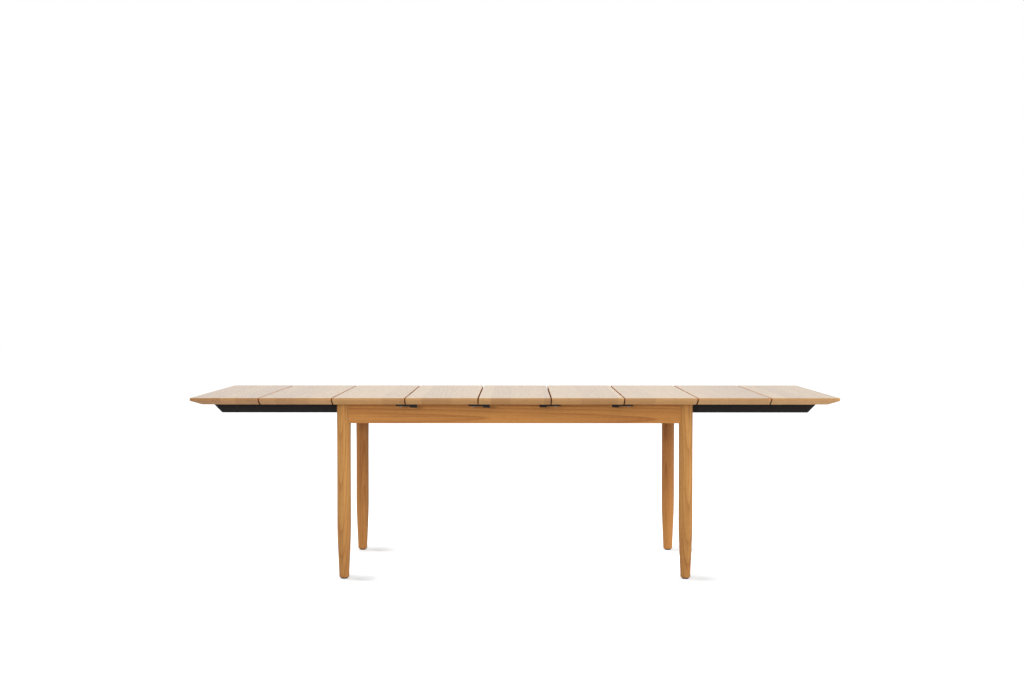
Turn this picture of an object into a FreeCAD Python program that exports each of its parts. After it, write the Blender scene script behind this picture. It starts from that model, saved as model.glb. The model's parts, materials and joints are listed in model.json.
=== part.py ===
import FreeCAD
import Part
import math
import os

V = FreeCAD.Vector

# top: nine panels in a row along X, front edge at -Y
table_height = 750.0
table_depth = 1000.0
panel_width = 290.0
end_panel_width = 277.0
panel_thickness = 28.5
seam_gap = 5.5
nose_drop = 10.0
arris_radius = 3.0
bevel_run = 46.0
corner_radius = 20.0
seam_ease = 2.0

# legs
leg_overhang = 168.75
leg_setback = 124.0
leg_radius = 28.5
leg_foot_radius = 20.5
leg_taper_top = 240.0
leg_taper_full = 150.0
foot_round = 6.0
glide_radius = 14.0
glide_height = 4.0
glide_round = 1.2

# apron frame
apron_height = 79.0
apron_thickness = 22.0
apron_recess = 10.0
board_ease = 2.0
tenon_thickness = 12.0
tenon_length = 16.0
tenon_shoulder = 8.0
end_apron_lower = 36.0
cross_slat_width = 60.0
cross_slat_thickness = 15.0
cross_slat_tenon = 8.0
block_height = 30.0
block_leg_length = 62.0
bolt_radius = 4.0
bolt_head_radius = 7.5
bolt_head_height = 5.5
bolt_flange_radius = 9.5
bolt_flange_height = 1.6
bolt_depth = 12.0

# sliding rails and what guides them
rail_width = 30.0
rail_height = 40.5
rail_wall = 3.0
rail_round = 1.5
rail_tip_inset = 65.5
rail_tip_slope = 40.0
rail_tail_inset = 10.5
groove_depth = 9.0
groove_height = 14.0
tab_thickness = 3.0
tab_reach = 22.0
tab_length = 44.0
tab_screw_spread = 24.0
tie_width = 30.0
tie_thickness = 5.0
tie_gap = 3.0
beam_thickness = 22.0
beam_gap = 10.0
beam_top_drop = 9.0
shoe_length = 32.0
shoe_wall = 3.2
shoe_lip = 15.0
tongue_length = 50.0
tongue_gap = 45.0
stop_radius = 4.0

# leaf battens
cleat_width = 40.0
cleat_thickness = 18.0
cleat_inset = 19.5
cleat_setback = 255.0
cleat_screw_inset = 20.0
pad_length = 40.0
pad_width = 14.0

# latches between the loose leaves
lane_setback = 58.0
lane_step = 19.0
lever_width = 16.0
lever_thickness = 7.0
lever_grip_thickness = 12.5
lever_tail = 20.5
lever_reach = 66.5
lever_grip_length = 28.0
grip_fillet = 5.0
lever_corner = 3.2
lever_ease = 0.8
pivot_from_seam = 19.5
keeper_from_seam = 32.0
pin_radius = 3.0
pin_drop = 10.0
pin_depth = 14.0
pivot_head_radius = 6.0
pivot_head_height = 3.0

# screws
screw_radius = 2.0
screw_head_radius = 4.0
screw_head_height = 2.2
screw_depth = 15.0

# clearances
top_clear = 2.0
pad_clear = 0.3
joint_clear = 0.1
cope_clear = 0.2
slide_clear = 0.4
lane_clear = 5.5
lever_clear = 0.5
pivot_clear = 0.05
hook_play = 0.5
hook_slack = 2.5

pitch = panel_width + seam_gap
half_depth = table_depth / 2
half_length = 3.5 * pitch + seam_gap / 2 + end_panel_width
closed_half_length = half_length - 1.5 * pitch
underside = table_height - panel_thickness
nose_z = table_height - nose_drop
bevel_rise = nose_z - underside
leg_x = closed_half_length - leg_overhang
leg_y = half_depth - leg_setback
frame_top = underside - top_clear
apron_bottom = frame_top - apron_height
apron_face = leg_y + leg_radius - apron_recess
apron_back = apron_face - apron_thickness
end_apron_in = leg_x - apron_thickness / 2
end_apron_out = leg_x + apron_thickness / 2
notch_floor = apron_bottom + end_apron_lower
rail_bottom = underside - rail_height
rail_out = leg_y - leg_radius - lane_clear
rail_in = rail_out - rail_width
rail_tip_x = half_length - rail_tip_inset
rail_tail_x = 1.5 * pitch + seam_gap / 2 + rail_tail_inset
rail_mid_z = underside - rail_height / 2
beam_out = rail_in - beam_gap
beam_in = beam_out - beam_thickness
beam_top = underside - beam_top_drop
beam_bottom = apron_bottom + cross_slat_thickness
cross_slat_x = pitch / 2
tongue_x = rail_tail_x + tongue_gap + tongue_length / 2
tie_x = half_length - end_panel_width / 2 + tab_length / 2 + tie_gap + tie_width / 2
cleat_length = panel_width - 2 * cleat_inset
cleat_y = half_depth - cleat_setback
cleat_screw_spread = cleat_length / 2 - cleat_screw_inset
lane_outer = half_depth - lane_setback
lane_inner = lane_outer - lane_step
lever_top = underside - lever_clear
keeper_radius = pivot_from_seam + keeper_from_seam


def box(x, y, z):
    corner = V(min(x), min(y), min(z))
    return Part.makeBox(abs(x[1] - x[0]), abs(y[1] - y[0]), abs(z[1] - z[0]), corner)


def rod(radius, start, end):
    line = end.sub(start)
    return Part.makeCylinder(radius, line.Length, start, line)


def post(radius, x, y, z):
    return rod(radius, V(x, y, z[0]), V(x, y, z[1]))


def prism(points, direction):
    wire = Part.makePolygon(points + points[:1])
    return Part.Face(wire).extrude(direction)


def join(shapes):
    return shapes[0].multiFuse(shapes[1:]).removeSplitter()


def carve(shape, tools):
    return shape.cut(tools) if tools else shape


def mirror_x(shape):
    return shape.mirror(V(0, 0, 0), V(1, 0, 0))


def mirror_y(shape):
    return shape.mirror(V(0, 0, 0), V(0, 1, 0))


def half_turn(shape):
    copy = shape.copy()
    copy.rotate(V(0, 0, 0), V(0, 0, 1), 180)
    return copy


def four_ways(shape):
    return [shape, mirror_x(shape), mirror_y(shape), half_turn(shape)]


def save(name, shapes):
    whole = shapes[0] if len(shapes) == 1 else Part.makeCompound(shapes)
    whole.exportStep(os.path.join("parts", name + ".step"))


def bevel_wedge(reach):
    slope = bevel_rise / bevel_run
    spare = 5.0
    low = underside - spare * slope
    points = [
        V(-half_length - spare, -reach - spare, nose_z + spare * slope),
        V(-half_length - spare, -reach + bevel_run + spare, low),
        V(-half_length - spare, -reach - spare, low),
    ]
    return prism(points, V(2 * (half_length + spare), 0, 0))


def outline(x_start, x_end, rounded):
    y = half_depth
    if not rounded:
        corners = [V(x_start, -y, 0), V(x_end, -y, 0), V(x_end, y, 0), V(x_start, y, 0)]
        return Part.makePolygon(corners + corners[:1])
    r = corner_radius
    k = r * (1 - math.sqrt(0.5))
    front = Part.Arc(V(x_start + r, -y, 0), V(x_start + k, -y + k, 0), V(x_start, -y + r, 0))
    back = Part.Arc(V(x_start, y - r, 0), V(x_start + k, y - k, 0), V(x_start + r, y, 0))
    path = [
        Part.LineSegment(V(x_end, -y, 0), V(x_start + r, -y, 0)),
        front,
        Part.LineSegment(V(x_start, -y + r, 0), V(x_start, y - r, 0)),
        back,
        Part.LineSegment(V(x_start + r, y, 0), V(x_end, y, 0)),
        Part.LineSegment(V(x_end, y, 0), V(x_end, -y, 0)),
    ]
    return Part.Wire([piece.toShape() for piece in path])


def on_plane(edge, axis, value):
    return all(abs(vertex.Point[axis] - value) < 1e-4 for vertex in edge.Vertexes)


def runs_along(edge, axis):
    ends = [vertex.Point for vertex in edge.Vertexes]
    return all(abs(ends[0][other] - ends[-1][other]) < 1e-4 for other in range(3) if other != axis)


def ease(board, axis, low, radius):
    """Rounds the lower long arrises of a board that lies along an axis."""
    return board.makeFillet(radius, [e for e in board.Edges if on_plane(e, 2, low) and runs_along(e, axis)])


def panel(x_start, x_end, rounded=False):
    slab = Part.Face(outline(x_start, x_end, rounded)).extrude(V(0, 0, panel_thickness))
    slab.translate(V(0, 0, underside))
    seams = [x_end] if rounded else [x_start, x_end]
    rim = [e for e in slab.Edges if on_plane(e, 2, table_height)]
    outer = [e for e in rim if not any(on_plane(e, 0, x) for x in seams)]
    slab = slab.makeFillet(arris_radius, outer)
    front = bevel_wedge(half_depth)
    slab = slab.cut([front, mirror_y(front)])
    if rounded:
        side = bevel_wedge(half_length)
        side.rotate(V(0, 0, 0), V(0, 0, 1), -90)
        slab = slab.cut(side)
    levels = (underside, table_height)
    eased = [
        e
        for e in slab.Edges
        if any(on_plane(e, 0, x) for x in seams) and any(on_plane(e, 2, z) for z in levels)
    ]
    return slab.makeFillet(seam_ease, eased)


def screw(x, y, z):
    """A screw driven upwards, its head below z."""
    head = post(screw_head_radius, x, y, (z - screw_head_height, z))
    return join([head, post(screw_radius, x, y, (z, z + screw_depth))])


def screw_hole(x, y, z):
    return post(screw_radius + joint_clear, x, y, (z - joint_clear, z + screw_depth + joint_clear))


def latch_spots(seam):
    x = seam * pitch
    return [(x, -lane_outer), (x, lane_inner)]


def pivot_hole(x, y):
    return post(pin_radius + joint_clear, x - pivot_from_seam, y, (underside - 1, underside + pin_depth))


def keeper_hole(x, y):
    return post(pin_radius + joint_clear, x + keeper_from_seam, y, (underside - 1, underside + pin_depth))


def pivot(x, y):
    lever_bottom = lever_top - lever_thickness
    head_top = lever_bottom - lever_clear
    shank = post(pin_radius, x - pivot_from_seam, y, (head_top - 1, underside + pin_depth - 1))
    head = post(pivot_head_radius, x - pivot_from_seam, y, (head_top - pivot_head_height, head_top))
    rim = [e for e in head.Edges if on_plane(e, 2, head_top - pivot_head_height)]
    return join([head.makeFillet(pivot_head_height * 0.7, rim), shank])


def keeper(x, y):
    return post(pin_radius, x + keeper_from_seam, y, (underside - pin_drop, underside + pin_depth - 1))


def lever_at_origin():
    half = lever_width / 2
    bar = box((-lever_tail, lever_reach), (-half, half), (lever_top - lever_thickness, lever_top))
    grip_x = lever_reach - lever_grip_length
    low = lever_top - lever_grip_thickness
    grip = box((grip_x, lever_reach), (-half, half), (low, lever_top))
    corner = V(grip_x, 0, lever_top - lever_thickness)
    cove = box((grip_x - grip_fillet, grip_x), (-half, half), (corner.z - grip_fillet, corner.z))
    scoop = rod(
        grip_fillet,
        V(grip_x - grip_fillet, -half - 1, corner.z - grip_fillet),
        V(grip_x - grip_fillet, half + 1, corner.z - grip_fillet),
    )
    arm = join([bar, grip, cove.cut(scoop)])
    uprights = [e for e in arm.Edges if runs_along(e, 2)]
    ends = [e for e in uprights if on_plane(e, 0, lever_reach) or on_plane(e, 0, -lever_tail)]
    arm = arm.makeFillet(lever_corner, ends)
    arm = arm.makeFillet(lever_ease, [e for e in arm.Edges if on_plane(e, 2, low)])
    hole = post(pin_radius + pivot_clear, 0, 0, (low - 1, lever_top + 1))
    slot_z = (low - 1, lever_top + 1)
    slot = post(keeper_radius + pin_radius + hook_play, 0, 0, slot_z)
    slot = slot.cut(post(keeper_radius - pin_radius - hook_slack, 0, 0, slot_z))
    slot = slot.common(box((0, 2 * lever_reach), (-pin_radius - hook_play, half + 1), slot_z))
    return arm.cut([hole, slot])


def levers(seam):
    front, back = latch_spots(seam)
    front_lever = lever_at_origin()
    back_lever = mirror_y(lever_at_origin())
    front_lever.translate(V(front[0] - pivot_from_seam, front[1], 0))
    back_lever.translate(V(back[0] - pivot_from_seam, back[1], 0))
    return front_lever, back_lever


def leg():
    """The front left leg with its two mortises."""
    blend = leg_taper_top - leg_taper_full
    foot_top = glide_height + foot_round
    slope = (leg_radius - leg_foot_radius) / (blend / 2 + leg_taper_full - foot_top)
    knee_radius = leg_radius - slope * blend / 2
    rest_radius = leg_foot_radius - foot_round
    turn = foot_round * math.sqrt(0.5)
    soften = 2.0
    points = {
        "base": V(0, 0, glide_height),
        "sole": V(rest_radius, 0, glide_height),
        "heel": V(rest_radius + turn, 0, foot_top - turn),
        "foot": V(leg_foot_radius, 0, foot_top),
        "knee": V(knee_radius, 0, leg_taper_full),
        "bend": V(leg_radius - slope * blend / 8, 0, leg_taper_full + blend / 2),
        "shin": V(leg_radius, 0, leg_taper_top),
        "neck": V(leg_radius, 0, frame_top - soften),
        "head": V(leg_radius - soften, 0, frame_top),
        "axis": V(0, 0, frame_top),
    }
    path = [
        Part.LineSegment(points["base"], points["sole"]),
        Part.Arc(points["sole"], points["heel"], points["foot"]),
        Part.LineSegment(points["foot"], points["knee"]),
        Part.Arc(points["knee"], points["bend"], points["shin"]),
        Part.LineSegment(points["shin"], points["neck"]),
        Part.LineSegment(points["neck"], points["head"]),
        Part.LineSegment(points["head"], points["axis"]),
        Part.LineSegment(points["axis"], points["base"]),
    ]
    face = Part.Face(Part.Wire([piece.toShape() for piece in path]))
    turned = face.revolve(V(0, 0, 0), V(0, 0, 1), 360)
    turned.translate(V(-leg_x, -leg_y, 0))
    mortises = [long_tenon(joint_clear), end_tenon(joint_clear), leg_bolt_hole()]
    return turned.cut(mortises)


def long_tenon(clear):
    """The tenon of a long apron in the front left leg, grown all round by clear."""
    middle = -(apron_face + apron_back) / 2
    reach = leg_radius - tenon_length
    return box(
        (-leg_x - clear - reach + tenon_length / 2, -leg_x + leg_radius),
        (middle - tenon_thickness / 2 - clear, middle + tenon_thickness / 2 + clear),
        (apron_bottom + tenon_shoulder - clear, frame_top - tenon_shoulder + clear),
    )


def end_tenon(clear):
    """The tenon of an end apron in the front left leg, grown all round by clear."""
    return box(
        (-leg_x - tenon_thickness / 2 - clear, -leg_x + tenon_thickness / 2 + clear),
        (-leg_y + leg_radius - tenon_length * 1.5 - clear, -leg_y + leg_radius),
        (apron_bottom + tenon_shoulder / 2 - clear, notch_floor - tenon_shoulder / 2 + clear),
    )


def leg_core(clear):
    core = post(leg_radius + clear, -leg_x, -leg_y, (0, table_height))
    return four_ways(core)


def long_apron():
    """The front apron, coped to the legs, with tenons and slat mortises."""
    board = box((-leg_x, leg_x), (-apron_face, -apron_back), (apron_bottom, frame_top))
    board = ease(board, 0, apron_bottom, board_ease).cut(leg_core(cope_clear))
    left = long_tenon(0)
    board = join([board, left, mirror_x(left)])
    slats = [cross_slat(side, joint_clear) for side in (-1, 1)]
    return board.cut(slats)


def end_apron():
    """The left end apron, stepped down at both ends for the rails to pass."""
    lower = box((-end_apron_out, -end_apron_in), (-leg_y, leg_y), (apron_bottom, notch_floor))
    lower = ease(lower, 1, apron_bottom, board_ease).cut(leg_core(cope_clear))
    crown_y = rail_in - slide_clear - shoe_wall - slide_clear
    crown = box((-end_apron_out, -end_apron_in), (-crown_y, crown_y), (notch_floor, beam_top))
    front = end_tenon(0)
    board = join([lower, crown, front, mirror_y(front)])
    holes = [s for y in beam_screw_spots() for s in beam_screw(y, joint_clear)]
    return board.cut(holes)


def cross_slat(side, clear):
    y = apron_back + cross_slat_tenon
    x = side * cross_slat_x
    reach = cross_slat_width / 2 + clear
    return box((x - reach, x + reach), (-y, y), (apron_bottom - clear, beam_bottom + clear))


def beam_screw_spots():
    middle = (beam_out + beam_in) / 2
    return [-middle, middle]


def beam_screw(y, clear):
    """Two screws through the left end apron into the end of a guide beam."""
    spread = (beam_top - beam_bottom) / 4
    middle = (beam_top + beam_bottom) / 2
    shapes = []
    for z in (middle - spread, middle + spread):
        start = V(-end_apron_out, y, z)
        shank = rod(screw_radius + clear, start, V(-end_apron_in + screw_depth + clear, y, z))
        if clear:
            shapes.append(shank)
            continue
        head = rod(screw_head_radius, V(-end_apron_out - screw_head_height, y, z), start)
        shapes.append(join([head, shank]))
    return shapes


def guide_beam():
    """The front guide beam, screwed between the end aprons."""
    board = box((-end_apron_in, end_apron_in), (-beam_out, -beam_in), (beam_bottom, beam_top))
    board = ease(board, 0, beam_bottom, board_ease)
    holes = beam_screw(beam_screw_spots()[0], joint_clear)
    holes += [mirror_x(hole) for hole in holes]
    holes += [hole for side in (-1, 1) for hole in tongue_screws(side, joint_clear)]
    return board.cut(holes)


def tongue(side):
    """A nylon runner on the front guide beam that holds a rail down by its groove."""
    x = (side * tongue_x - tongue_length / 2, side * tongue_x + tongue_length / 2)
    tip = rail_in + groove_depth - slide_clear * 2
    half = groove_height / 2 - slide_clear
    block = box(x, (-tip, -beam_out), (rail_mid_z - half, rail_mid_z + half))
    return block.cut(tongue_screws(side, joint_clear))


def tongue_screws(side, clear):
    shapes = []
    for offset in (-tongue_length / 4, tongue_length / 4):
        x = side * tongue_x + offset
        start = V(x, -beam_in, rail_mid_z)
        end = V(x, -beam_out - screw_depth + clear * 10, rail_mid_z)
        if clear:
            shapes.append(rod(screw_radius + clear, start, V(end.x, end.y - clear * 20, end.z)))
            continue
        head = rod(screw_head_radius, V(x, -beam_in + screw_head_height, rail_mid_z), start)
        shapes.append(join([head, rod(screw_radius, start, end)]))
    return shapes


def shoe():
    """The nylon shoe under the front left rail where it leaves the frame."""
    x = (-leg_x - shoe_length / 2, -leg_x + shoe_length / 2)
    inner = rail_in - slide_clear
    outer = rail_out + slide_clear
    floor_top = rail_bottom - slide_clear
    whole = box(x, (-outer - shoe_wall, -inner + shoe_wall), (notch_floor, floor_top + shoe_lip))
    return whole.cut(box(x, (-outer, -inner), (floor_top, floor_top + shoe_lip)))


def corner_block():
    """The brace in the front left corner, under the path of the rail."""
    axis_sum = leg_x + leg_y
    cut = axis_sum - (leg_radius + cope_clear) * math.sqrt(2) * 1.02
    far = end_apron_in + apron_back - block_leg_length
    points = [
        V(-(cut - apron_back), -apron_back, beam_bottom - cross_slat_thickness),
        V(-(far - apron_back), -apron_back, beam_bottom - cross_slat_thickness),
        V(-end_apron_in, -(far - end_apron_in), beam_bottom - cross_slat_thickness),
        V(-end_apron_in, -(cut - end_apron_in), beam_bottom - cross_slat_thickness),
    ]
    return prism(points, V(0, 0, block_height)).cut(leg_bolt_hole())


def bolt_line():
    """Both ends of the bolt's shank, from the brace's inner face into the leg."""
    z = apron_bottom + block_height / 2
    far = (leg_x + leg_y - (end_apron_in + apron_back - block_leg_length)) / 2
    near = (leg_radius - bolt_depth) * math.sqrt(0.5)
    return V(-leg_x + far, -leg_y + far, z), V(-leg_x + near, -leg_y + near, z)


def leg_bolt():
    start, end = bolt_line()
    out = start.sub(end).normalize()
    across = out.cross(V(0, 0, 1))
    seat = start.add(out * bolt_flange_height)
    corners = []
    for turn in range(6):
        angle = math.radians(60 * turn)
        side = across * (bolt_head_radius * math.cos(angle))
        corners.append(seat.add(side).add(V(0, 0, bolt_head_radius * math.sin(angle))))
    head = prism(corners, out * (bolt_head_height - bolt_flange_height))
    return join([rod(bolt_flange_radius, start, seat), head, rod(bolt_radius, start, end)])


def leg_bolt_hole():
    start, end = bolt_line()
    out = start.sub(end).normalize()
    return rod(bolt_radius + joint_clear, start.add(out), end.sub(out * joint_clear))


def glide():
    foot = post(glide_radius, -leg_x, -leg_y, (0, glide_height))
    return foot.makeFillet(glide_round, [e for e in foot.Edges if on_plane(e, 2, 0)])


def pads():
    spots = [seat * pitch + offset for seat in (-1, 0, 1) for offset in (-pitch / 4, pitch / 4)]
    spots += [-2 * pitch, 2 * pitch]
    middle = (apron_face + apron_back) / 2
    shapes = []
    for x in spots:
        for y in (-middle, middle):
            reach = (x - pad_length / 2, x + pad_length / 2)
            shapes.append(box(reach, (y - pad_width / 2, y + pad_width / 2), (frame_top, underside - pad_clear)))
    return shapes


def half_panel_spans():
    end = (-half_length, -half_length + end_panel_width)
    middle = (end[1] + seam_gap, end[1] + seam_gap + panel_width)
    inner = (middle[1] + seam_gap, middle[1] + seam_gap + panel_width)
    return {"end": end, "middle": middle, "inner": inner}


def tab_screw_spots():
    """Where the left half's rails are screwed up into its panels."""
    y = rail_in - tab_reach / 2
    spots = []
    for span in half_panel_spans().values():
        middle = sum(span) / 2
        for x in (middle - tab_screw_spread / 2, middle + tab_screw_spread / 2):
            spots += [(x, -y), (x, y)]
    return spots


def rail_side(start, end_top, end_bottom, y, z):
    points = [V(end_top, y[0], z[1]), V(start, y[0], z[1]), V(start, y[0], z[0]), V(end_bottom, y[0], z[0])]
    return prism(points, V(0, y[1] - y[0], 0))


def rail():
    """The left half's front rail: a box section, grooved on its inner side, with tabs for the panels."""
    tip_top = -rail_tip_x + rail_wall
    tip_bottom = tip_top + rail_tip_slope
    body = rail_side(-rail_tail_x, tip_top, tip_bottom, (-rail_out, -rail_in), (rail_bottom, underside))
    body = ease(body, 0, rail_bottom, rail_round)
    span = (-rail_tip_x, -rail_tail_x + 1)
    groove_z = (rail_mid_z - groove_height / 2, rail_mid_z + groove_height / 2)
    groove = box(span, (-rail_in - groove_depth, -rail_in + 1), groove_z)
    bore_y = (-rail_out + rail_wall, -rail_in - groove_depth - rail_wall)
    bore = box(span, bore_y, (rail_bottom + rail_wall, underside - rail_wall))
    body = body.cut([groove, bore, rail_stop_shank(joint_clear)])
    tabs = []
    for ends in half_panel_spans().values():
        x = sum(ends) / 2
        reach = (x - tab_length / 2, x + tab_length / 2)
        tabs.append(box(reach, (-rail_in, -rail_in + tab_reach), (underside - tab_thickness, underside)))
    holes = [screw_hole(x, y, underside - tab_thickness) for x, y in tab_screw_spots()]
    return join([body] + tabs).cut(holes)


def rail_cap():
    points = [
        V(-rail_tip_x, -rail_out, underside),
        V(-rail_tip_x + rail_wall, -rail_out, underside),
        V(-rail_tip_x + rail_wall + rail_tip_slope, -rail_out, rail_bottom),
        V(-rail_tip_x + rail_tip_slope, -rail_out, rail_bottom),
    ]
    return ease(prism(points, V(0, rail_width, 0)), 0, rail_bottom, rail_round)


def rail_stop_shank(clear):
    x = -rail_tail_x - stop_radius * 1.5
    floor = -rail_in - groove_depth
    return rod(stop_radius / 2 + clear, V(x, floor, rail_mid_z), V(x, floor - rail_wall, rail_mid_z))


def rail_stop():
    x = -rail_tail_x - stop_radius * 1.5
    floor = -rail_in - groove_depth
    head = rod(stop_radius, V(x, floor, rail_mid_z), V(x, -rail_in - slide_clear, rail_mid_z))
    return join([head, rail_stop_shank(0)])


def cross_tie():
    x = (-tie_x - tie_width / 2, -tie_x + tie_width / 2)
    return box(x, (-rail_in, rail_in), (underside - tie_thickness, underside))


def cleat(x, y):
    board = box(
        (x - cleat_length / 2, x + cleat_length / 2),
        (y - cleat_width / 2, y + cleat_width / 2),
        (underside - cleat_thickness, underside),
    )
    rim = [e for e in board.Edges if on_plane(e, 2, underside - cleat_thickness)]
    board = board.makeChamfer(cleat_thickness / 6, rim)
    return board.cut([hole for hole in cleat_screws(x, y, screw_hole)])


def cleat_screws(x, y, maker):
    offsets = (-cleat_screw_spread, 0, cleat_screw_spread)
    return [maker(x + offset, y, underside - cleat_thickness) for offset in offsets]


def leaf(seat, holes):
    x = seat * pitch
    board = panel(x - panel_width / 2, x + panel_width / 2)
    drills = [h for y in (-cleat_y, cleat_y) for h in cleat_screws(x, y, screw_hole)]
    return carve(board, drills + holes)


def save_halves():
    tab_holes = [screw_hole(x, y, underside - tab_thickness) for x, y in tab_screw_spots()]
    latch_holes = [pivot_hole(x, y) for x, y in latch_spots(-1.5)]
    pieces = {}
    for name, span in half_panel_spans().items():
        board = panel(span[0], span[1], name == "end")
        pieces[name + "_panel"] = [carve(board, tab_holes + latch_holes)]
    front = rail()
    pieces["front_rail"] = [front]
    pieces["back_rail"] = [mirror_y(front)]
    pieces["rail_caps"] = [rail_cap(), mirror_y(rail_cap())]
    pieces["cross_tie"] = [cross_tie()]
    pieces["rail_stops"] = [rail_stop(), mirror_y(rail_stop())]
    pieces["rail_screws"] = [screw(x, y, underside - tab_thickness) for x, y in tab_screw_spots()]
    pieces["latch_pivots"] = [pivot(x, y) for x, y in latch_spots(-1.5)]
    for name, shapes in pieces.items():
        save("left_" + name, shapes)
        other = name.replace("front", "swap").replace("back", "front").replace("swap", "back")
        save("right_" + other, [half_turn(shape) for shape in shapes])


def save_leaves():
    outer_holes = [keeper_hole(x, y) for x, y in latch_spots(-1.5)]
    inner_holes = [pivot_hole(x, y) for x, y in latch_spots(-0.5)]
    side_leaf = [leaf(-1, outer_holes + inner_holes)]
    side_cleats = [cleat(-pitch, y) for y in (-cleat_y, cleat_y)]
    side_screws = [s for y in (-cleat_y, cleat_y) for s in cleat_screws(-pitch, y, screw)]
    side_pins = [keeper(x, y) for x, y in latch_spots(-1.5)]
    side_pins += [pivot(x, y) for x, y in latch_spots(-0.5)]
    sets = {"panel": side_leaf, "cleats": side_cleats, "cleat_screws": side_screws, "latch_pins": side_pins}
    for name, shapes in sets.items():
        save("leaf_left_" + name, shapes)
        save("leaf_right_" + name, [half_turn(shape) for shape in shapes])
    middle_holes = [keeper_hole(x, y) for x, y in latch_spots(-0.5)]
    middle_pins = [keeper(x, y) for x, y in latch_spots(-0.5)]
    save("leaf_middle_panel", [leaf(0, middle_holes + [half_turn(h) for h in middle_holes])])
    save("leaf_middle_cleats", [cleat(0, y) for y in (-cleat_y, cleat_y)])
    save("leaf_middle_cleat_screws", [s for y in (-cleat_y, cleat_y) for s in cleat_screws(0, y, screw)])
    save("leaf_middle_latch_pins", middle_pins + [half_turn(p) for p in middle_pins])


def save_levers():
    for seam, place in ((-1.5, "outer"), (-0.5, "inner")):
        front, back = levers(seam)
        save("lever_left_" + place + "_front", [front])
        save("lever_left_" + place + "_back", [back])
        save("lever_right_" + place + "_front", [half_turn(back)])
        save("lever_right_" + place + "_back", [half_turn(front)])


def save_base():
    corners = ("front_left", "front_right", "back_left", "back_right")
    for corner, shape in zip(corners, four_ways(leg())):
        save("leg_" + corner, [shape])
    save("foot_glides", four_ways(glide()))
    save("front_apron", [long_apron()])
    save("back_apron", [mirror_y(long_apron())])
    save("left_end_apron", [end_apron()])
    save("right_end_apron", [mirror_x(end_apron())])
    save("front_guide_beam", [guide_beam()])
    save("back_guide_beam", [mirror_y(guide_beam())])
    for side, name in ((-1, "left_cross_slat"), (1, "right_cross_slat")):
        save(name, [ease(cross_slat(side, 0), 1, apron_bottom, board_ease)])
    save("corner_blocks", four_ways(corner_block()))
    save("leg_bolts", four_ways(leg_bolt()))
    save("guide_shoes", four_ways(shoe()))
    runners = [tongue(side) for side in (-1, 1)]
    save("guide_runners", runners + [mirror_y(runner) for runner in runners])
    ends = [s for y in beam_screw_spots() for s in beam_screw(y, 0)]
    ends += [mirror_x(s) for s in ends]
    inner = [s for side in (-1, 1) for s in tongue_screws(side, 0)]
    save("frame_screws", ends + inner + [mirror_y(s) for s in inner])
    save("rest_pads", pads())


os.makedirs("parts", exist_ok=True)
save_base()
save_halves()
save_leaves()
save_levers()
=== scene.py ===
import bpy
import json
import math
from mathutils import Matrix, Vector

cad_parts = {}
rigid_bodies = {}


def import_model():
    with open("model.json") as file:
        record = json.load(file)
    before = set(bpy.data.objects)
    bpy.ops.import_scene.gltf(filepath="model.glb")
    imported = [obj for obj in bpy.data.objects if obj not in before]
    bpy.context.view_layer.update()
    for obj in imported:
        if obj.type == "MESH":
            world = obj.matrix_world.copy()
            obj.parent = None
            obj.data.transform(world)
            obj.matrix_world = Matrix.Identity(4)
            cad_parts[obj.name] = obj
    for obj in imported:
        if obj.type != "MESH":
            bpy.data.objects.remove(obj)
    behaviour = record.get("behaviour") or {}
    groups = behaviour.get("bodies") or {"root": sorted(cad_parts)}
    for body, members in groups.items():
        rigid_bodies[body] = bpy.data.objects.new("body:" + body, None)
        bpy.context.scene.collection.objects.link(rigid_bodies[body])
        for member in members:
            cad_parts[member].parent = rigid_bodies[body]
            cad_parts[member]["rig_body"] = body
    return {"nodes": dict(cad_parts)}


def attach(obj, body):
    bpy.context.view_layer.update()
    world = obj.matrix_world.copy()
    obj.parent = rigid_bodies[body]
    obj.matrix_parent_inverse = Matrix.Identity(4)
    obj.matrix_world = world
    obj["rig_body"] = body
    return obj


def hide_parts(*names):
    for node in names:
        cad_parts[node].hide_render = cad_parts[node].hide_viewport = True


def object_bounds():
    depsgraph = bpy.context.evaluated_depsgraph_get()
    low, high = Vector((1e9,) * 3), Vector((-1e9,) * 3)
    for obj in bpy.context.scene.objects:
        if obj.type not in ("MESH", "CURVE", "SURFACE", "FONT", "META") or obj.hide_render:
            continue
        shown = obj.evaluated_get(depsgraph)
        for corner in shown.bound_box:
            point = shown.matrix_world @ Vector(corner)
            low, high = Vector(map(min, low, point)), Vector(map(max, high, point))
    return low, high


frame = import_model()
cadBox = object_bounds()
nodes = frame["nodes"]


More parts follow.
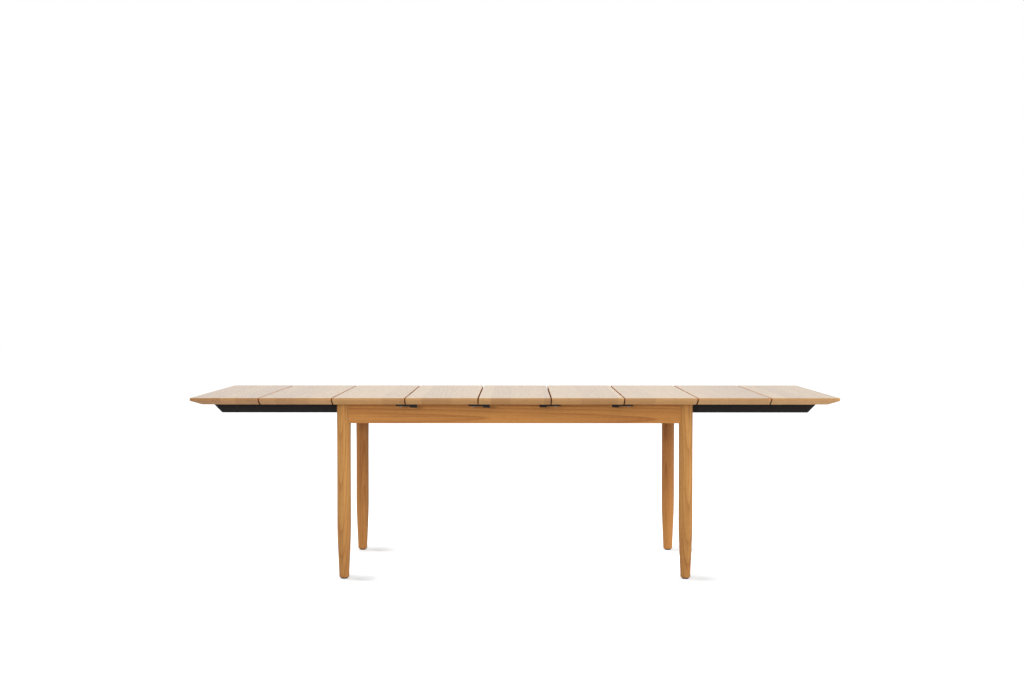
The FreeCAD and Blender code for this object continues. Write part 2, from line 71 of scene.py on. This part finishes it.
class Wire:
    # a socket that sums, multiplies and compares like a number

    def __init__(self, tree, socket=None):
        self.tree = tree
        self.socket = socket

    def add(self, kind, settings=None, inputs=None, out=0):
        node = self.tree.nodes.new("ShaderNode" + kind)
        for key, value in (settings or {}).items():
            setattr(node, key, value)
        for key, value in (inputs or {}).items():
            if isinstance(value, Wire):
                self.tree.links.new(value.socket, node.inputs[key])
            else:
                node.inputs[key].default_value = value
        return Wire(self.tree, node.outputs[out])

    def other(self, name):
        return Wire(self.tree, self.socket.node.outputs[name])

    def math(self, operation, first, second=0.0):
        return self.add("Math", {"operation": operation}, {0: first, 1: second})

    def __add__(self, value):
        return self.math("ADD", self, value)

    def __radd__(self, value):
        return self.math("ADD", value, self)

    def __sub__(self, value):
        return self.math("SUBTRACT", self, value)

    def __rsub__(self, value):
        return self.math("SUBTRACT", value, self)

    def __mul__(self, value):
        return self.math("MULTIPLY", self, value)

    def __rmul__(self, value):
        return self.math("MULTIPLY", value, self)

    def __truediv__(self, value):
        return self.math("DIVIDE", self, value)

    def __rtruediv__(self, value):
        return self.math("DIVIDE", value, self)

    def __pow__(self, value):
        return self.math("POWER", self, value)

    def __gt__(self, value):
        return self.math("GREATER_THAN", self, value)

    def __lt__(self, value):
        return self.math("LESS_THAN", self, value)

    def floor(self):
        return self.math("FLOOR", self)

    def fraction(self):
        return self.math("FRACT", self)

    def size(self):
        return self.math("ABSOLUTE", self)

    def root(self):
        return self.math("SQRT", self)

    def ramp(self, low, high):
        # 0 below low, 1 above high, smooth between
        return self.add("MapRange", {"interpolation_type": "SMOOTHSTEP"}, {0: self, 1: low, 2: high})

    def blend(self, first, second, mode="MIX"):
        # a colour between two, by this factor
        settings = {"data_type": "RGBA", "blend_type": mode}
        return self.add("Mix", settings, {0: self, 6: first, 7: second}, 2)


def startMaterial(name):
    material = bpy.data.materials.new(name)
    material.use_nodes = True
    tree = material.node_tree
    shader = next(n for n in tree.nodes if n.type == "BSDF_PRINCIPLED")
    return material, shader, Wire(tree)


def joinTo(shader, name, wire):
    wire.tree.links.new(wire.socket, shader.inputs[name])


def opaque(shade):
    return (shade[0], shade[1], shade[2], 1.0)


def placeAxes(wire):
    place = wire.add("TexCoord", None, None, "Object")
    split = wire.add("SeparateXYZ", None, {0: place})
    return split, split.other("Y"), split.other("Z")


# the oiled hardwood of the top and the frame
woodLook = {
    "top": {"pale": (0.720, 0.448, 0.166), "brown": (0.457, 0.245, 0.083), "roughness": 0.21,
            "specular": 0.42, "bump": 0.012, "rings": 0.30, "fibre": 0.28, "pores": 0.25, "wear": 0.35},
    "frame": {"pale": (0.535, 0.250, 0.066), "brown": (0.277, 0.092, 0.022), "roughness": 0.42,
              "specular": 0.30, "bump": 0.12, "rings": 0.55, "fibre": 0.55, "pores": 0.60, "wear": 1.0},
    "leg": {"pale": (0.556, 0.287, 0.084), "brown": (0.287, 0.105, 0.027), "roughness": 0.42,
            "specular": 0.30, "bump": 0.12, "rings": 0.44, "fibre": 0.62, "pores": 0.60, "wear": 1.0},
    "poreTint": (0.52, 0.40, 0.30),
    "glueTint": (0.55, 0.42, 0.32),        # lines between the staves
    "underSide": (1.0, 0.905, 0.95),       # bevel and underside of the top
    "endGrainAndShade": (0.65, 0.63, 0.65),        # darker again where the staves are cut across: partly the end grain's own colour, partly painted shade on the faces turned to the front and back
    "seamWallLight": (0.66, 0.30, 0.13),        # painted light: the seams' sides drawn paler and orange in place of light bounced between the boards
    # painted shade deep in the seams
    "seamDeepShade": (0.30, 0.16, 0.11),
    "toneSpread": 0.62,            # how far one board differs from the next
    "toneStart": 0.20,
    "toneRange": (-0.25, 1.15),    # from pale to brown
    "bandSpread": 0.75,
    "ringGloss": 0.05,             # roughness that rings, pores and saw cuts add
    "poreGloss": 0.10,
    "sawnGloss": 0.26,
    "relief": (0.5, 0.7, 0.25),    # of fibres, pores and rings
    "reliefDepth": 0.0006,
}

# the figure of the wood
grainLook = {
    "ringWidth": 0.0072,           # metres between two growth rings
    "ringRise": 3.0,               # a higher power darkens less of each ring
    "ringFall": (0.93, 1.0),
    "ringSeed": 3.1,
    "wander": (0.012, 0.006),      # metres that the rings stray, sideways and outwards
    "wanderSeed": 1.7,
    "poreRange": (0.60, 0.72),
    # scale across the grain, scale along it, detail
    "wanderNoise": (5.0, 0.6, 3.0),
    "fibreNoise": (420.0, 5.0, 4.0),
    "poreNoise": (1150.0, 34.0, 1.0),
    "bandNoise": (170.0, 2.2, 2.0),
}


def grainNoise(wire, place, detail):
    spot = wire.add("CombineXYZ", None, dict(enumerate(place)))
    inputs = {"Vector": spot, "Scale": 1.0, "Detail": detail}
    return wire.add("TexNoise", {"noise_dimensions": "3D"}, inputs).other("Fac")


def woodGrain(wire, along, across, deep, seed, lean):
    # growth rings round a pith line beside the board, with fibres and pores along it
    wide, long, detail = grainLook["wanderNoise"]
    drift = (across * wide + seed, along * long, deep * wide + seed * grainLook["wanderSeed"])
    sway = grainNoise(wire, drift, detail) - 0.5
    sideways = across + along * lean[0] + sway * grainLook["wander"][0]
    depth = deep + along * lean[1]
    radius = (sideways * sideways + depth * depth).root() + sway * grainLook["wander"][1]
    ring = (radius / grainLook["ringWidth"] + seed * grainLook["ringSeed"]).fraction()
    late = ring ** grainLook["ringRise"] * (1.0 - ring.ramp(*grainLook["ringFall"]))
    wide, long, detail = grainLook["fibreNoise"]
    fibre = grainNoise(wire, (across * wide + seed, along * long, deep * wide), detail)
    wide, long, detail = grainLook["poreNoise"]
    pores = grainNoise(wire, (across * wide, along * long + seed, deep * wide), detail)
    wide, long, detail = grainLook["bandNoise"]
    bands = grainNoise(wire, (across * wide + seed, along * long, deep * wide), detail)
    return late, fibre, pores.ramp(*grainLook["poreRange"]), bands


def finishWood(material, shader, look, grain, toneAndShading, tints=(), sawn=None):
    late, fibre, pores, bands = grain
    shader.inputs["Specular IOR Level"].default_value = look["specular"]
    brownness = late * look["rings"] + (fibre - 0.5) * look["fibre"]
    brownness = brownness + (bands - 0.5) * woodLook["bandSpread"]
    # this value carries painted shade and painted light as well as each board's own colour variation
    brownness = brownness + toneAndShading * woodLook["toneSpread"] + woodLook["toneStart"]
    shade = brownness.ramp(*woodLook["toneRange"]).blend(opaque(look["pale"]), opaque(look["brown"]))
    shade = (pores * look["pores"]).blend(shade, opaque(woodLook["poreTint"]), "MULTIPLY")
    for mask, tint, mode in tints:
        shade = mask.blend(shade, opaque(tint), mode)
    joinTo(shader, "Base Color", shade)
    wear = late * woodLook["ringGloss"] + pores * woodLook["poreGloss"]
    gloss = look["roughness"] + wear * look["wear"]
    joinTo(shader, "Roughness", gloss if sawn is None else gloss + sawn * woodLook["sawnGloss"])
    fibreRise, poreDrop, ringDrop = woodLook["relief"]
    height = fibre * fibreRise - pores * poreDrop - late * ringDrop
    relief = {"Height": height, "Strength": look["bump"], "Distance": woodLook["reliefDepth"]}
    joinTo(shader, "Normal", height.add("Bump", None, relief))
    return material


# the staves of the top's panels, lengths in metres
staveLook = {
    "width": 0.066,
    "unevenness": 0.62,            # 0 for one width, 1 for any width
    "panelPitch": 0.2955,
    "panelShift": 3.137,           # gives each panel staves of its own
    "pithAside": 0.075,
    "pithHeight": 0.717,
    "pithSpread": 0.085,
    "lean": (0.07, 0.05),          # of the grain, sideways and down
    "seedSpread": 9.0,
    "glueReach": 0.010,
    "glueStrength": 0.6,
    "seamReach": 1.25,             # the table's own ends lie past this
    "seamShadeDepth": (0.005, 0.018),   # where painted shade darkens a seam's sides, below the top
    "upFacing": (0.55, 0.95),      # how squarely a face looks up, to an end or to a side
    "endFacing": (0.45, 0.90),
    "sideFacing": (0.6, 0.9),
    # places along the table, and what they add: browner top faces on the far panels, painted shade on the
    # sawn edges towards the left end, painted light on them towards the right end
    "farPanels": ((0.45, 1.2), 0.75),
    "leftEdgeShade": ((0.6, 1.3), 0.75),
    "rightEdgeLight": ((0.5, 1.1), -0.56),
}


def topWood():
    # each panel is glued up of narrow staves that run front to back
    look = staveLook
    material, shader, wire = startMaterial("topWood")
    x, y, z = placeAxes(wire)
    row = x + (x / look["panelPitch"] + 0.5).floor() * look["panelShift"]
    cell = {"Scale": 1.0 / look["width"], "Randomness": look["unevenness"], "W": row}
    stave = wire.add("TexVoronoi", {"voronoi_dimensions": "1D"}, cell)
    edge = wire.add("TexVoronoi", {"voronoi_dimensions": "1D", "feature": "DISTANCE_TO_EDGE"}, cell)
    luck = wire.add("SeparateColor", None, {0: stave.other("Color")})
    first, second, third = luck, luck.other("Green"), luck.other("Blue")
    across = row - stave.other("W") + (first - 0.5) * look["pithAside"]
    deep = z - look["pithHeight"] + second * look["pithSpread"]
    lean = ((second - 0.5) * look["lean"][0], (first - 0.5) * look["lean"][1])
    grain = woodGrain(wire, y, across, deep, third * look["seedSpread"], lean)
    glue = (1.0 - edge.ramp(0.0, look["glueReach"])) * look["glueStrength"]
    facing = wire.add("SeparateXYZ", None, {0: wire.add("TexCoord", None, None, "Normal")})
    sawn = 1.0 - facing.other("Z").ramp(*look["upFacing"])
    # faces turned to the front and back: end grain colour together with painted shade
    endCut = facing.other("Y").size().ramp(*look["endFacing"])
    # painted light: the seams' sides get a paler orange in place of light bounced between the boards
    seam = facing.size().ramp(*look["sideFacing"]) * (x.size() < look["seamReach"])
    # painted shade: a seam's sides darken further below the top
    seamShade = seam * (cadBox[1][2] - z).ramp(*look["seamShadeDepth"])
    tints = [(glue, woodLook["glueTint"], "MULTIPLY"), (sawn, woodLook["underSide"], "MULTIPLY"),
             (endCut, woodLook["endGrainAndShade"], "MULTIPLY"), (seam, woodLook["seamWallLight"], "MIX"),
             (seamShade, woodLook["seamDeepShade"], "MULTIPLY")]
    (farPlace, farTone), (leftPlace, leftShade) = look["farPanels"], look["leftEdgeShade"]
    rightPlace, rightLight = look["rightEdgeLight"]
    ends = x.size().ramp(*farPlace) * (1.0 - sawn) * farTone
    # painted shade darkens the sawn edges towards the left end, and painted light pales them towards the
    # right end
    edgeShading = (0.0 - x).ramp(*leftPlace) * leftShade + x.ramp(*rightPlace) * rightLight
    toneAndShading = third - 0.5 + ends + edgeShading * sawn
    return finishWood(material, shader, woodLook["top"], grain, toneAndShading, tints, sawn)


# solid boards and legs
boardLook = {
    # axes with the grain's first, middle of the board on the other two, lean of the grain
    "boards": {
        "legWood": ("ZXY", (0.702, 0.376), (0.018, 0.030)),
        "apronWood": ("XZY", (0.680, 0.3835), (0.006, 0.010)),
        "beamWood": ("XZY", (0.680, 0.291), (0.006, 0.010)),
        "crossWood": ("YZX", (0.660, 0.702), (0.006, 0.010)),
    },
    "seeds": {"X": 2.7, "Y": 5.3},     # left and right, front and back boards differ
    "pith": (0.02, 0.055),             # metres from the middle of the board
    "legShadeHeights": (0.05, 0.40),            # heights between which a leg's painted shade changes
    # painted shade: the legs darker towards the foot
    "legLowShade": 0.36,
    "backLegShade": 0.17,               # painted shade: the back legs darker and redder under the top, paling towards the foot
    "backLegShadeFade": -0.90,
    "backLegShadeTint": (1.0, 0.89, 0.87),
}


def boardWood(name):
    order, middle, lean = boardLook["boards"][name]
    material, shader, wire = startMaterial(name)
    axes = dict(zip("XYZ", placeAxes(wire)))
    seed = 0.0
    for letter, step in boardLook["seeds"].items():
        # no step along the grain, so that no board changes midway
        if letter != order[0]:
            seed = (axes[letter] > 0.0) * step + seed
    along, across, deep = (axes[letter] for letter in order)
    across = across.size() - middle[0] + boardLook["pith"][0]
    deep = deep.size() - middle[1] + boardLook["pith"][1]
    grain = woodGrain(wire, along, across, deep, seed, lean)
    if name != "legWood":
        return finishWood(material, shader, woodLook["frame"], grain, 0.0)
    # painted shade: front legs darker towards the foot, back legs darker and redder under the top and
    # paling towards the foot
    back = axes["Y"] > 0.0
    low = 1.0 - axes["Z"].ramp(*boardLook["legShadeHeights"])
    backShade = low * boardLook["backLegShadeFade"] + boardLook["backLegShade"]
    toneAndShading = low * boardLook["legLowShade"] + back * backShade
    tints = [(back, boardLook["backLegShadeTint"], "MULTIPLY")]
    return finishWood(material, shader, woodLook["leg"], grain, toneAndShading, tints)


# coated metal, steel and plastics
plainLook = {
    # colour, metallic, specular, roughness, speckles per metre, speckle depth
    "finishes": {
        "blackCoat": ((0.0125, 0.0106, 0.0106), 0.0, 0.25, 0.50, 2600.0, 0.00002),
        "brightSteel": ((0.66, 0.65, 0.63), 1.0, 0.50, 0.28, 1800.0, 0.000003),
        "dullSteel": ((0.36, 0.34, 0.33), 1.0, 0.50, 0.42, 1800.0, 0.00002),
        "paleNylon": ((0.62, 0.60, 0.55), 0.0, 0.50, 0.42, 900.0, 0.00002),
        "darkPlastic": ((0.035, 0.030, 0.027), 0.0, 0.50, 0.48, 1200.0, 0.00003),
    },
    "speckleDetail": 2.0,
    "speckleGloss": 0.16,
    "speckleBump": 0.35,
}


def plainFinish(name):
    shade, metallic, specular, roughness, speckle, depth = plainLook["finishes"][name]
    material, shader, wire = startMaterial(name)
    shader.inputs["Base Color"].default_value = opaque(shade)
    shader.inputs["Metallic"].default_value = metallic
    shader.inputs["Specular IOR Level"].default_value = specular
    place = wire.add("TexCoord", None, None, "Object")
    noise = {"Vector": place, "Scale": speckle, "Detail": plainLook["speckleDetail"]}
    grit = wire.add("TexNoise", None, noise).other("Fac")
    joinTo(shader, "Roughness", roughness + (grit - 0.5) * plainLook["speckleGloss"])
    bump = {"Height": grit, "Strength": plainLook["speckleBump"], "Distance": depth}
    joinTo(shader, "Normal", grit.add("Bump", None, bump))
    return material


finishes = {name: plainFinish(name) for name in plainLook["finishes"]}
finishes["topWood"] = topWood()
for name in boardLook["boards"]:
    finishes[name] = boardWood(name)
print("finishes made:", len(finishes))

# which finish each piece wears, by the words in its name; the last rule that fits counts
finishRules = [
    (("panel",), "topWood"),
    (("leg_front", "leg_back"), "legWood"),
    (("front_apron", "back_apron"), "apronWood"),
    (("end_apron", "cross_slat"), "crossWood"),
    (("guide_beam", "cleats", "corner_blocks"), "beamWood"),
    (("lever", "_rail", "rail_caps", "cross_tie"), "blackCoat"),
    (("screws", "bolts", "rail_stops"), "brightSteel"),
    (("pins", "pivots"), "dullSteel"),
    (("guide_shoes", "guide_runners", "rest_pads"), "paleNylon"),
    (("foot_glides",), "darkPlastic"),
]


def finishFor(name):
    for words, finish in finishRules[::-1]:
        if any(word in name for word in words):
            return finishes[finish]


for name, piece in nodes.items():
    piece.data.materials.clear()
    piece.data.materials.append(finishFor(name))
print("finishes worn")

smoothAngle = math.radians(32)


def startRound(name, sides, radius, low, high):
    # an upright cylinder about the Z axis
    bpy.ops.object.select_all(action="DESELECT")
    bpy.ops.mesh.primitive_cylinder_add(vertices=sides, radius=radius, depth=high - low)
    piece = bpy.context.object
    piece.name = name
    bpy.ops.object.mode_set(mode="EDIT")
    moveUp((low + high) / 2)
    bpy.ops.object.mode_set(mode="OBJECT")
    return piece


def pickFaces(piece, wanted):
    bpy.ops.object.mode_set(mode="EDIT")
    bpy.ops.mesh.select_mode(type="FACE")
    bpy.ops.mesh.select_all(action="DESELECT")
    bpy.ops.object.mode_set(mode="OBJECT")
    for face in piece.data.polygons:
        face.select = wanted(face)
    bpy.ops.object.mode_set(mode="EDIT")


def looksUp(face):
    return face.normal.z > 0.5


def looksDown(face):
    return face.normal.z < -0.5


def looksAside(face):
    return abs(face.normal.z) < 0.5


def pullUp(height):
    bpy.ops.mesh.extrude_region_move(TRANSFORM_OT_translate={"value": (0.0, 0.0, height)})


def moveUp(height):
    bpy.ops.transform.translate(value=(0.0, 0.0, height))


def taper(share, height):
    bpy.ops.transform.resize(value=(share, share, 1.0), center_override=(0.0, 0.0, height))


def cutRecess(piece, cutter):
    cut = piece.modifiers.new("recess", "BOOLEAN")
    cut.operation = "DIFFERENCE"
    cut.solver = "EXACT"
    cut.object = cutter
    bpy.ops.object.select_all(action="DESELECT")
    bpy.context.view_layer.objects.active = piece
    piece.select_set(True)
    bpy.ops.object.modifier_apply(modifier=cut.name)
    bpy.data.objects.remove(cutter)
    bpy.ops.object.shade_smooth_by_angle(angle=smoothAngle)


# a wood screw, head down, with a cross recess
screwLook = {
    "sides": 28,
    "headRadius": 0.0040,
    "headHeight": 0.0022,
    "rimRound": 0.0012,
    "rimSteps": 4,
    "shankRadius": 0.0020,
    "shankLength": 0.0150,
    "pointLength": 0.0040,
    "pointTaper": 0.15,
    "recessWidth": 0.0010,
    "recessReach": 0.0022,
    "recessDepth": 0.0013,
    "recessTaper": 0.62,
}


def makeCross():
    width, depth = screwLook["recessWidth"], screwLook["recessDepth"]
    low = -screwLook["headHeight"]
    bpy.ops.object.select_all(action="DESELECT")
    bpy.ops.mesh.primitive_cube_add(size=width)
    cutter = bpy.context.object
    bpy.ops.object.mode_set(mode="EDIT")
    bpy.ops.transform.resize(value=(1.0, 1.0, 2 * depth / width), center_override=(0.0, 0.0, 0.0))
    moveUp(low)
    pickFaces(cutter, looksAside)
    reach = screwLook["recessReach"] - width / 2
    bpy.ops.mesh.extrude_faces_move(TRANSFORM_OT_shrink_fatten={"value": reach})
    pickFaces(cutter, looksUp)
    taper(screwLook["recessTaper"], low + depth)
    bpy.ops.object.mode_set(mode="OBJECT")
    return cutter


def startHead(name, look):
    # a round head below the origin with a rounded rim, and its upper face drawn in to the shank
    piece = startRound(name, look["sides"], look["headRadius"], -look["headHeight"], 0.0)
    pickFaces(piece, looksDown)
    bpy.ops.mesh.bevel(offset=look["rimRound"], segments=look["rimSteps"], affect="EDGES")
    pickFaces(piece, looksUp)
    bpy.ops.mesh.inset(thickness=look["headRadius"] - look["shankRadius"])
    return piece


def makeScrew():
    look = screwLook
    screw = startHead("screwModel", look)
    pullUp(look["shankLength"] - look["pointLength"])
    pullUp(look["pointLength"])
    taper(look["pointTaper"], look["shankLength"])
    bpy.ops.object.mode_set(mode="OBJECT")
    cutRecess(screw, makeCross())
    return screw


# a latch pivot, button head down with a hexagon socket, and a keeper pin with a rounded end
pivotLook = {
    "sides": 32,
    "headRadius": 0.0060,
    "headHeight": 0.0030,
    "rimRound": 0.0020,
    "rimSteps": 5,
    "shankRadius": 0.0029,
    "shankLength": 0.0210,
    "socketSides": 6,
    "socketRadius": 0.0022,
    "socketDepth": 0.0015,
    "socketClear": 0.001,
    "pinRadius": 0.0030,
    "pinLength": 0.0230,
    "pinRound": 0.0010,
    "pinCrown": 0.6,           # shares of the round
    "pinEdge": 0.4,
    "pinSteps": 3,
}


def makePivot():
    look = pivotLook
    pivot = startHead("pivotModel", look)
    pullUp(look["shankLength"])
    bpy.ops.object.mode_set(mode="OBJECT")
    low = -look["headHeight"]
    span = (low - look["socketClear"], low + look["socketDepth"])
    cutRecess(pivot, startRound("socketCutter", look["socketSides"], look["socketRadius"], *span))
    return pivot


def makeKeeper():
    look = pivotLook
    crown = look["pinRound"] * look["pinCrown"]
    keeper = startRound("keeperModel", look["sides"], look["pinRadius"], 0.0, look["pinLength"])
    pickFaces(keeper, looksDown)
    bpy.ops.mesh.inset(thickness=look["pinRound"])
    moveUp(-crown)
    bpy.ops.mesh.bevel(offset=look["pinRound"] * look["pinEdge"], segments=look["pinSteps"], affect="EDGES")
    bpy.ops.mesh.select_all(action="SELECT")
    moveUp(crown)
    bpy.ops.object.mode_set(mode="OBJECT")
    bpy.ops.object.shade_smooth_by_angle(angle=smoothAngle)
    return keeper


def solidsOf(piece):
    # the separate solids of a CAD piece, as lists of points
    home = {}

    def rootOf(key):
        while home[key] != key:
            key = home[key]
        return key

    # corners that agree to a micrometre are one
    keys = [tuple(round(value, 6) for value in vertex.co) for vertex in piece.data.vertices]
    for key in keys:
        home.setdefault(key, key)
    for face in piece.data.polygons:
        first = rootOf(keys[face.vertices[0]])
        for corner in face.vertices[1:]:
            home[rootOf(keys[corner])] = first
    groups = {}
    for key in home:
        groups.setdefault(rootOf(key), []).append(Vector(key))
    return list(groups.values())


def seatOf(points):
    # the low end, the way up the shank, the length and the width of one fastener
    low = [min(point[i] for point in points) for i in range(3)]
    high = [max(point[i] for point in points) for i in range(3)]
    spans = [b - a for a, b in zip(low, high)]
    axis = spans.index(max(spans))
    middle = Vector([(a + b) / 2 for a, b in zip(low, high)])
    others = [i for i in range(3) if i != axis]
    widest = max(points, key=lambda point: sum((point[i] - middle[i]) ** 2 for i in others))
    way = Vector((0.0, 0.0, 0.0))
    way[axis] = 1.0 if widest[axis] < middle[axis] else -1.0
    start = middle - way * spans[axis] / 2
    return start, way, spans[axis], spans[others[0]]


def placeCopy(model, headHeight, start, way, length):
    copy = model.copy()
    copy.data = model.data.copy()
    bpy.context.scene.collection.objects.link(copy)
    shank = max(vertex.co.z for vertex in copy.data.vertices)
    for vertex in copy.data.vertices:
        if vertex.co.z > 0.0:
            vertex.co.z *= (length - headHeight) / shank
    turn = Vector((0.0, 0.0, 1.0)).rotation_difference(way).to_matrix().to_4x4()
    spot = Matrix.Translation(start + way * headHeight)
    copy.data.transform(spot @ turn)
    return copy


def joinCopies(copies, name, node):
    bpy.ops.object.select_all(action="DESELECT")
    for copy in copies:
        copy.select_set(True)
    bpy.context.view_layer.objects.active = copies[0]
    bpy.ops.object.join()
    piece = bpy.context.object
    piece.name = name
    piece.data.name = name
    piece.data.materials.clear()
    piece.data.materials.append(finishFor(node))
    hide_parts(node)
    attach(piece, nodes[node]["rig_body"])


def dressFasteners():
    screw, pivot, keeper = makeScrew(), makePivot(), makeKeeper()
    for node in sorted(nodes):
        if not node.endswith(("screws", "latch_pins", "latch_pivots")):
            continue
        copies = []
        for points in solidsOf(nodes[node]):
            start, way, length, width = seatOf(points)
            if node.endswith("screws"):
                copies.append(placeCopy(screw, screwLook["headHeight"], start, way, length))
            elif width > pivotLook["headRadius"] + pivotLook["pinRadius"]:
                copies.append(placeCopy(pivot, pivotLook["headHeight"], start, way, length))
            else:
                # a plain pin has no head to tell its low end
                start.z = min(point.z for point in points)
                copies.append(placeCopy(keeper, 0.0, start, Vector((0.0, 0.0, 1.0)), length))
        joinCopies(copies, node + "_dressed", node)
    for model in (screw, pivot, keeper):
        bpy.data.objects.remove(model)


dressFasteners()
print("fasteners dressed")

# studio: pale floor, white surround and five lamps
studioLook = {
    "floorSize": 60.0,
    "floorDrop": 0.0004,               # keeps the floor clear of the feet
    "floorBounce": (0.65, 0.65, 0.65),     # the floor's colour as the table meets it
    "floorShade": (0.77, 0.83, 0.87),      # and as the camera does
    "floorGlow": 0.03,                 # what the floor gives the table from below
    "floorLift": (0.15, 0.23, 0.90),   # glow beside a front foot, beside a back foot and away from them; the weaker glow beside the feet is a painted shadow, partly over a real one
    "floorReach": (0.0, 0.21),         # metres over which the lift changes
    "feet": (0.702, 0.376),
    "shadowPatchShift": 0.07,                # the painted shadow patches lie this far to the right of the feet
    "surround": 0.31,
    "lampAim": (0.0, -0.2, 0.6),
    # place, size, power
    "lamps": {
        "front_lamp": ((-1.4, -5.8, 3.8), 2.6, 116.0),
        "low_lamp": ((-2.4, -5.9, 1.65), 0.4, 107.0),
        "left_lamp": ((-5.4, 1.9, 1.6), 0.6, 92.0),
        "right_lamp": ((6.2, -2.6, 2.6), 4.6, 325.0),
        "back_lamp": ((-1.0, 6.0, 3.6), 3.0, 130.0),
    },
}


def makeFloor():
    look = studioLook
    bpy.ops.object.select_all(action="DESELECT")
    bpy.ops.mesh.primitive_plane_add(size=look["floorSize"], location=(0, 0, -look["floorDrop"]))
    floor = bpy.context.object
    floor.name = "studio_floor"
    material, shader, wire = startMaterial("studioFloor")
    shader.inputs["Roughness"].default_value = 1.0
    shader.inputs["Specular IOR Level"].default_value = 0.0
    shader.inputs["Emission Strength"].default_value = 1.0
    seen = wire.add("LightPath", None, None, "Is Camera Ray")
    joinTo(shader, "Base Color", seen.blend(opaque(look["floorBounce"]), opaque(look["floorShade"])))
    x, y = placeAxes(wire)[:2]
    # the floor glows less in a patch right of each foot: a painted shadow laid over the real contact shadow
    aside = (x - look["shadowPatchShift"]).size() - look["feet"][0]
    back = y.size() - look["feet"][1]
    shadowPatchDistance = (aside * aside + back * back).root()
    front, rear, far = look["floorLift"]
    near = (y > 0.0) * (rear - front) + front
    lift = shadowPatchDistance.ramp(*look["floorReach"]) * (far - near) + near
    shown = seen * (lift - look["floorGlow"]) + look["floorGlow"]
    joinTo(shader, "Emission Color", shown.blend((0.0, 0.0, 0.0, 1.0), (1.0, 1.0, 1.0, 1.0)))
    floor.data.materials.append(material)


def makeSurround():
    world = bpy.data.worlds.new("surround")
    bpy.context.scene.world = world
    world.use_nodes = True
    sky = next(n for n in world.node_tree.nodes if n.type == "BACKGROUND")
    wire = Wire(world.node_tree)
    seen = wire.add("LightPath", None, None, "Is Camera Ray")
    shown = seen + seen.other("Is Glossy Ray") + seen.other("Is Transmission Ray")
    strength = studioLook["surround"] + (shown > 0.5) * (1.0 - studioLook["surround"])
    sky.inputs["Color"].default_value = (1.0, 1.0, 1.0, 1.0)
    joinTo(sky, "Strength", strength)


def makeLamp(name, place, size, power):
    bpy.ops.object.light_add(type="AREA", location=place)
    lamp = bpy.context.object
    lamp.name = name
    lamp.data.size = size
    lamp.data.energy = power
    # only the white surround shows in the gloss
    lamp.visible_glossy = False
    aim = Vector(studioLook["lampAim"]) - lamp.location
    lamp.rotation_euler = aim.to_track_quat("-Z", "Y").to_euler()


makeFloor()
makeSurround()
for name, (place, size, power) in studioLook["lamps"].items():
    makeLamp(name, place, size, power)
print("studio lit")

# the photograph's camera
cameraLook = {
    "place": (0.017003, -6.697625, 1.123708),
    "pitch": 0.02348,          # radians below the horizon
    "turn": 0.00447,           # radians to the left
    "lens": 54.184,
}
cameraData = bpy.data.cameras.new("photoCamera")
camera = bpy.data.objects.new("photoCamera", cameraData)
bpy.context.scene.collection.objects.link(camera)
cameraData.lens = cameraLook["lens"]
camera.location = cameraLook["place"]
camera.rotation_euler = (math.pi / 2 - cameraLook["pitch"], 0.0, cameraLook["turn"])
bpy.context.scene.camera = camera
bpy.context.scene.view_settings.view_transform = "Standard"
print("camera set")
